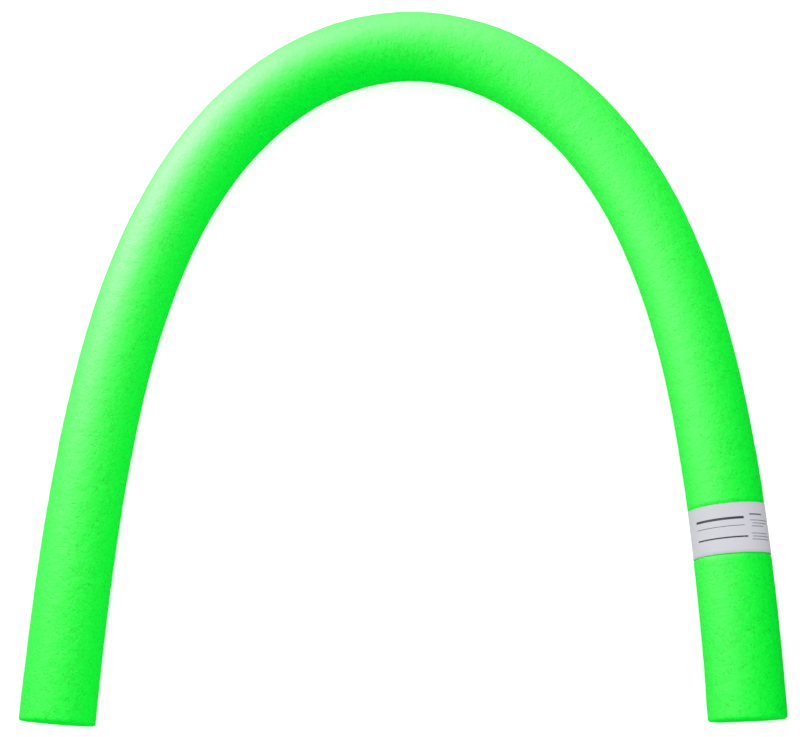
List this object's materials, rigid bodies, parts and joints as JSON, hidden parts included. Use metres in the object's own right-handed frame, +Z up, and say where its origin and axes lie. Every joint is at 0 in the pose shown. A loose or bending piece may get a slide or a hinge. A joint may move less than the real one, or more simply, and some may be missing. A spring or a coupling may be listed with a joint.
{
  "type": "pool noodle",
  "caption": "Round bar of solid closed-cell foam, bent into an arch and lying flat, with a band wrapped round one leg. It floats and carries a swimmer's arms.",
  "frame": {"origin": "middle of the arch's outline seen from above, on the surface that it lies on", "axes": "+Y from the cut ends towards the crown of the arch, +X from the bare leg towards the leg with the band, +Z up"},
  "size_m": [0.6413, 0.6537, 0.0642],
  "materials": {
    "foam": "matte closed-cell foam with a finely pebbled skin",
    "band": "satin coated paper"
  },
  "bodies": {
    "root": {"foam_noodle": "foam", "label_band": "band"}
  },
  "joints": []
}
